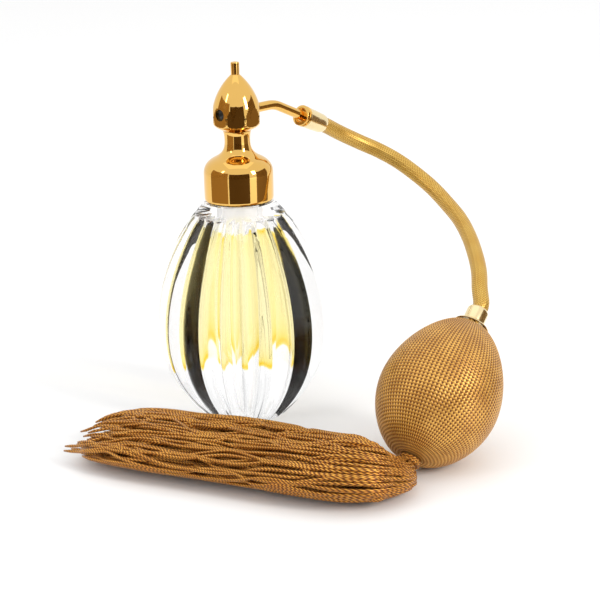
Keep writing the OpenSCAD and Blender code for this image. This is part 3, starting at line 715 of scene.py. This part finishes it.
# %% Columns of stitches
knit, inp, out = group("Knitted columns", [("Vector", "Vector", None), ("Lean", "Float", 0.5)], [("Height", "Float"), ("Mask", "Float")])
xyz = node(knit, "ShaderNodeSeparateXYZ", {"Vector": inp["Vector"]}).outputs
edge = calc(knit, "MULTIPLY", calc(knit, "ABSOLUTE", calc(knit, "SUBTRACT", calc(knit, "FRACT", xyz["X"]), 0.5)), 2.0)
leg = calc(knit, "SINE", calc(knit, "MULTIPLY", calc(knit, "ADD", xyz["Y"], calc(knit, "MULTIPLY", edge, inp["Lean"])), 2 * math.pi))
leg = calc(knit, "MULTIPLY_ADD", leg, 0.5, 0.5)
column = calc(knit, "SUBTRACT", 1.0, calc(knit, "POWER", edge, 2.0))
bead = calc(knit, "MULTIPLY", calc(knit, "POWER", leg, 1.5), calc(knit, "POWER", edge, 1.5))
both = calc(knit, "ADD", calc(knit, "MULTIPLY", calc(knit, "POWER", column, 1.6), calc(knit, "MULTIPLY_ADD", leg, 0.35, 0.65)), calc(knit, "MULTIPLY", bead, 0.75))
knit.links.new(both, out["Height"])
# The Mask output paints light into the net colour: high on the crest of each column and stitch, which takes a painted
# highlight, and low in the gaps, which take painted shade.
knit.links.new(calc(knit, "MULTIPLY", both, 0.95), out["Mask"])
print("group", knit.name, "has", len(knit.nodes), "nodes")

# %% Yarn colour, with painted shade in the gaps and painted highlights on the crests
yarn, inp, out = group("Yarn with painted light", [("Vector", "Vector", None), ("Mask", "Float", 0.5), ("Painted gap shade", "Color", (0.1, 0.03, 0.005, 1)), ("Body", "Color", (0.4, 0.16, 0.03, 1)),
                       ("Bright", "Color", (0.8, 0.45, 0.12, 1))], [("Color", "Color"), ("Roughness", "Float")])
shade = node(yarn, "ShaderNodeTexNoise", {"Vector": inp["Vector"], "Scale": 160.0, "Detail": 3.0}).outputs["Fac"]
# Where the mask is low the colour goes to the deep gap colour, which is painted shade. Where it is high, with some
# noise, it goes to the bright colour, which is a painted highlight.
low = mixed(yarn, calc(yarn, "MULTIPLY", inp["Mask"], 2.0), inp["Painted gap shade"], inp["Body"])
high = mixed(yarn, node(yarn, "ShaderNodeMapRange", {"Value": calc(yarn, "MULTIPLY_ADD", shade, 0.5, inp["Mask"]), "From Min": 0.75, "From Max": 1.25}).outputs["Result"], low, inp["Bright"])
yarn.links.new(high, out["Color"])
yarn.links.new(calc(yarn, "MULTIPLY_ADD", shade, 0.2, 0.24), out["Roughness"])
print("group", yarn.name, "has", len(yarn.nodes), "nodes")

# %% [markdown]
# ## Metal finishes
# Gold plate is a mirror with a very slight haze where fingers touched it. Its colour comes only
# from the metal, so the base colour is deep and the shine does the rest. The pale gold of the
# ferrule and bulb nut is lightly brushed, so it is rougher and has a finer, stronger grain.

# %% Gold, pale gold, brass and steel
def metal(name, colour, polish, dull, scale=60.0, bump=0.02):
    material, tree, shader = finish_of(name)
    place = node(tree, "ShaderNodeTexCoord").outputs["Object"]
    marks = placed(tree, wear, {"Vector": place, "Scale": scale, "Polish": polish, "Dull": dull})
    warm = tuple(c * 0.86 for c in colour[:3]) + (1,)
    tree.links.new(mixed(tree, calc(tree, "MULTIPLY", marks["Mask"], 0.35), colour + (1,), warm), shader.inputs["Base Color"])
    shader.inputs["Metallic"].default_value = 1.0
    tree.links.new(marks["Roughness"], shader.inputs["Roughness"])
    dents = node(tree, "ShaderNodeBump", {"Height": marks["Height"], "Strength": bump, "Distance": 0.0002})
    tree.links.new(dents.outputs["Normal"], shader.inputs["Normal"])
    return material


gold = metal("polished_gold", (0.86, 0.52, 0.14), 0.035, 0.11)
pale_gold = metal("pale_brushed_gold", (0.93, 0.76, 0.44), 0.16, 0.3, 140.0, 0.05)
brass = metal("inner_brass", (0.86, 0.62, 0.26), 0.2, 0.4, 90.0, 0.05)
steel = metal("steel", (0.72, 0.72, 0.7), 0.12, 0.25)

# %% [markdown]
# ## Glass
# Clear glass needs no colour, only its bending of light, kept low so that few rays are trapped
# between the flutes, and a perfectly smooth cut surface with
# the faintest ripple from fire polishing. The amber skin bends nothing and only absorbs. The
# bore in the neck is ground for the mount, so it is matt. The bottle is full, and scent bends
# light almost as glass does, so its inner wall neither bends nor mirrors. Light for the table
# goes straight through, so the glass doesn't stand in a shadow of its own.

# %% Clear, amber and ground glass
def glass(name, ior, rough, ripple, inside=False):
    """Glass that light for the table passes. Inside other glass it never bends light, so it costs the path no bounce."""
    material, tree, shader = finish_of(name)
    shader.inputs["Base Color"].default_value = (1, 1, 1, 1)
    shader.inputs["Transmission Weight"].default_value = 1.0
    shader.inputs["IOR"].default_value = ior
    place = node(tree, "ShaderNodeTexCoord").outputs["Object"]
    waves = node(tree, "ShaderNodeTexNoise", {"Vector": place, "Scale": 90.0, "Detail": 2.0}).outputs["Fac"]
    shader.inputs["Roughness"].default_value = 0.0
    if rough:
        tree.links.new(calc(tree, "MULTIPLY_ADD", waves, rough * 0.4, rough * 0.8), shader.inputs["Roughness"])
    if ripple:
        bump = node(tree, "ShaderNodeBump", {"Height": waves, "Strength": ripple, "Distance": 0.0004})
        tree.links.new(bump.outputs["Normal"], shader.inputs["Normal"])
    path = node(tree, "ShaderNodeLightPath").outputs
    passes = calc(tree, "MAXIMUM", path["Is Shadow Ray"], path["Is Diffuse Ray"])
    if inside:
        passes = calc(tree, "MAXIMUM", passes, calc(tree, "MINIMUM", path["Transmission Depth"], 1.0))
    see_through = node(tree, "ShaderNodeBsdfTransparent").outputs["BSDF"]
    either = node(tree, "ShaderNodeMixShader", {0: passes, 1: shader.outputs["BSDF"], 2: see_through})
    tree.links.new(either.outputs["Shader"], tree.nodes["Material Output"].inputs["Surface"])
    return material, tree


clear, _ = glass("clear_glass", 1.28, 0.0, 0.05)
inner_wall, _ = glass("wet_inner_wall", 1.0, 0.0, 0.0, True)
ground, ground_tree = glass("ground_glass", 1.28, 0.5, 0.0)
ground_tree.nodes["Principled BSDF"].inputs["Transmission Weight"].default_value = 0.55
plastic, _ = glass("clear_plastic", 1.2, 0.04, 0.0)
honey, honey_tree = glass("amber_glass", 1.0, 0.0, 0.0, True)
soak = node(honey_tree, "ShaderNodeVolumeAbsorption", {"Color": (1.0, 0.86, 0.0, 1.0), "Density": 305.0})
honey_tree.links.new(soak.outputs["Volume"], honey_tree.nodes["Material Output"].inputs["Volume"])

# %% [markdown]
# ## Thread finishes
# The net, the hose and the tassel are the same silky thread in three forms. Light catches the top
# of each ply and the gaps between plies fall into deep brown shade, and both are painted: a mask
# made from the twist drives relief and colour, a painted highlight on crests, painted shade in gaps.

# %% Net, hose and tassel threads
def thread_finish(name, pitch, plies, chevron, deep, body, bright, bump, distance, shine=0.3, knitted=False):
    material, tree, shader = finish_of(name)
    uv = node(tree, "ShaderNodeUVMap", uv_map="Thread").outputs["UV"]
    place = node(tree, "ShaderNodeTexCoord").outputs["Object"]
    if knitted:
        ply = placed(tree, knit, {"Vector": uv, "Lean": 0.5})
    else:
        ply = placed(tree, twist, {"Vector": uv, "Pitch": pitch, "Plies": plies, "Chevron": chevron})
    # deep is painted shade for the gaps between plies, bright is a painted highlight for their crests, and body is the
    # thread's own colour.
    silk = placed(tree, yarn, {"Vector": place, "Mask": ply["Mask"], "Painted gap shade": deep + (1,), "Body": body + (1,), "Bright": bright + (1,)})
    tree.links.new(silk["Color"], shader.inputs["Base Color"])
    tree.links.new(silk["Roughness"], shader.inputs["Roughness"])
    shader.inputs["Sheen Weight"].default_value = 0.08
    shader.inputs["Metallic"].default_value = shine
    shader.inputs["Sheen Roughness"].default_value = 0.4
    shader.inputs["Sheen Tint"].default_value = (1.0, 0.8, 0.5, 1)
    shader.inputs["Specular IOR Level"].default_value = 0.6
    relief = node(tree, "ShaderNodeBump", {"Height": ply["Height"], "Strength": bump, "Distance": distance})
    tree.links.new(relief.outputs["Normal"], shader.inputs["Normal"])
    return material


# In each row the first colour is painted shade in the gaps, the second the thread's own colour and the third a painted
# highlight on the crests.
tassel_silk = thread_finish("tassel_braid", 1.15, 2.0, 1.0, (0.05, 0.011, 0.001), (0.45, 0.145, 0.009), (0.97, 0.50, 0.08), 0.7, 0.00012, 0.45)
net_silk = thread_finish("net_stitches", 1.0, 1.0, 0.5, (0.045, 0.012, 0.001), (0.35, 0.13, 0.01), (0.92, 0.52, 0.11), 0.7, 0.0002, 0.4, True)
hose_silk = thread_finish("hose_threads", 0.9, 1.0, 1.0, (0.22, 0.09, 0.008), (0.62, 0.33, 0.035), (0.98, 0.72, 0.20), 0.3, 0.00006, 0.5)

# %% Rubber and black plastic
def plain(name, colour, speck, rough, scale):
    material, tree, shader = finish_of(name)
    place = node(tree, "ShaderNodeTexCoord").outputs["Object"]
    grain = node(tree, "ShaderNodeTexNoise", {"Vector": place, "Scale": scale, "Detail": 4.0}).outputs["Fac"]
    tree.links.new(mixed(tree, grain, colour + (1,), speck + (1,)), shader.inputs["Base Color"])
    tree.links.new(calc(tree, "MULTIPLY_ADD", grain, 0.2, rough), shader.inputs["Roughness"])
    bump = node(tree, "ShaderNodeBump", {"Height": grain, "Strength": 0.1, "Distance": 0.0001})
    tree.links.new(bump.outputs["Normal"], shader.inputs["Normal"])
    return material


seal_rubber = plain("seal_rubber", (0.03, 0.03, 0.03), (0.06, 0.06, 0.055), 0.5, 400)
bulb_skin = plain("bulb_rubber", (0.16, 0.07, 0.02), (0.24, 0.11, 0.035), 0.45, 300)
nozzle_black = plain("nozzle_black", (0.006, 0.006, 0.007), (0.02, 0.02, 0.02), 0.3, 500)

# %% Give every piece its finish
finishes = {"clear_glass": clear, "amber_glass": honey, "gold": gold, "pale_gold": pale_gold, "inner_brass": brass, "seal_rubber": seal_rubber,
            "clear_plastic": plastic, "black_plastic": nozzle_black, "gold_braid": hose_silk, "bulb_rubber": bulb_skin,
            "net_thread": net_silk, "tassel_thread": tassel_silk, "steel": steel}
solids = {row["node"]: row["material_slot"] for row in frame["record"]["subparts"]}
for name, solid in frame["nodes"].items():
    for slot_place in solid.material_slots:
        slot_place.material = finishes[solids[name]]
for piece in bpy.context.scene.objects:
    if piece.type == "MESH" and "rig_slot" in piece and "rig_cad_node" not in piece:
        piece.data.materials.clear()
        piece.data.materials.append(finishes[piece["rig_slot"]])
bottle.data.materials.append(ground)
bottle.data.materials.append(inner_wall)
for face in bottle.data.polygons:
    c = face.center / MM
    from_axis = math.hypot(c.x, c.y)
    if 69.8 < c.z < 91.2 and from_axis < 7.2:
        face.material_index = 1
    elif 21 < c.z <= 69.8 and from_axis < 16 and face.normal.dot(Vector((c.x, c.y, c.z - 43))) < 0:
        face.material_index = 2
print("finishes:", ", ".join(sorted(finishes)))

# %% [markdown]
# ## Floor and light
# The table is plain and almost white. Gold shows what stands round it, so a plain white room would
# make it look like paper: a soft window to the right, a strip to the left and dark cloths round
# the front give the collar its bright bands and brown ones. The cloths are seen only by
# reflections.

# %% Floor, flags and lights
def matt(name, colour):
    material, tree, shader = finish_of(name)
    grain = node(tree, "ShaderNodeTexNoise", {"Scale": 20.0}).outputs["Fac"]
    shade = tuple(c * 0.99 for c in colour) + (1,)
    tree.links.new(mixed(tree, grain, colour + (1,), shade), shader.inputs["Base Color"])
    shader.inputs["Roughness"].default_value = 0.9
    shader.inputs["Specular IOR Level"].default_value = 0.1
    return material


nothing_selected()
bpy.ops.mesh.primitive_plane_add(size=8, location=(0, 0, 0))
floor = bpy.context.object
floor.name = "table"
floor.data.materials.append(matt("table_white", (0.96, 0.96, 0.96)))


def flag(name, start, end, colour, height, near=0.2, far=0.8):
    """A dark cloth round the front, flat on the table and then up as a wall, between two angles seen from the bottle."""
    nothing_selected()
    steps = max(2, int((end - start) / 6))
    angles = [math.radians(start + (end - start) * k / steps) for k in range(steps + 1)]
    profile = ((near, 0.0005), (far, 0.0005), (far, height))
    points = [(math.sin(a) * r, -math.cos(a) * r, z) for a in angles for r, z in profile]
    faces = [(3 * k + j, 3 * k + j + 1, 3 * k + j + 4, 3 * k + j + 3) for k in range(steps) for j in (0, 1)]
    mesh = bpy.data.meshes.new(name)
    mesh.from_pydata(points, [], faces)
    cloth = bpy.data.objects.new(name, mesh)
    bpy.context.scene.collection.objects.link(cloth)
    material = matt(name + "_cloth", colour)
    tree = material.node_tree
    through_glass = calc(tree, "MINIMUM", node(tree, "ShaderNodeLightPath").outputs["Transmission Depth"], 1.0)
    nothing = node(tree, "ShaderNodeBsdfTransparent").outputs["BSDF"]
    either = node(tree, "ShaderNodeMixShader", {0: through_glass, 1: tree.nodes["Principled BSDF"].outputs["BSDF"], 2: nothing})
    tree.links.new(either.outputs["Shader"], tree.nodes["Material Output"].inputs["Surface"])
    mesh.materials.append(material)
    cloth.visible_camera = False
    cloth.visible_diffuse = False
    cloth.visible_shadow = False
    cloth.visible_transmission = False


flag("left_flag", -100, -34, (0.30, 0.19, 0.08), 0.5)
flag("front_flag", -30, 38, (0.07, 0.04, 0.015), 0.42)
flag("right_flag", 62, 110, (0.16, 0.10, 0.045), 0.45)


def soft_light(name, place, target, width, height, power, colour=(1, 1, 1)):
    bpy.ops.object.light_add(type="AREA", location=place)
    lamp = bpy.context.object
    lamp.name = name
    lamp.data.shape = "RECTANGLE"
    lamp.data.size, lamp.data.size_y = width, height
    lamp.data.energy = power
    lamp.data.color = colour
    lamp.rotation_euler = (Vector(target) - Vector(place)).to_track_quat("-Z", "Y").to_euler()
    return lamp


soft_light("window", (0.95, -0.64, 0.62), (0, 0, 0.08), 0.24, 0.5, 6, (1.0, 0.98, 0.95))
soft_light("left_strip", (-0.8, -0.5, 0.6), (0, 0, 0.06), 0.12, 0.5, 1.0)
soft_light("overhead", (0.0, 0.1, 1.1), (0, 0, 0), 0.9, 0.9, 0.7)
world = bpy.context.scene.world or bpy.data.worlds.new("room")
bpy.context.scene.world = world
world.use_nodes = True
world.node_tree.nodes["Background"].inputs["Color"].default_value = (1, 1, 1, 1)
world.node_tree.nodes["Background"].inputs["Strength"].default_value = 0.98
bpy.context.scene.view_settings.view_transform = "Standard"
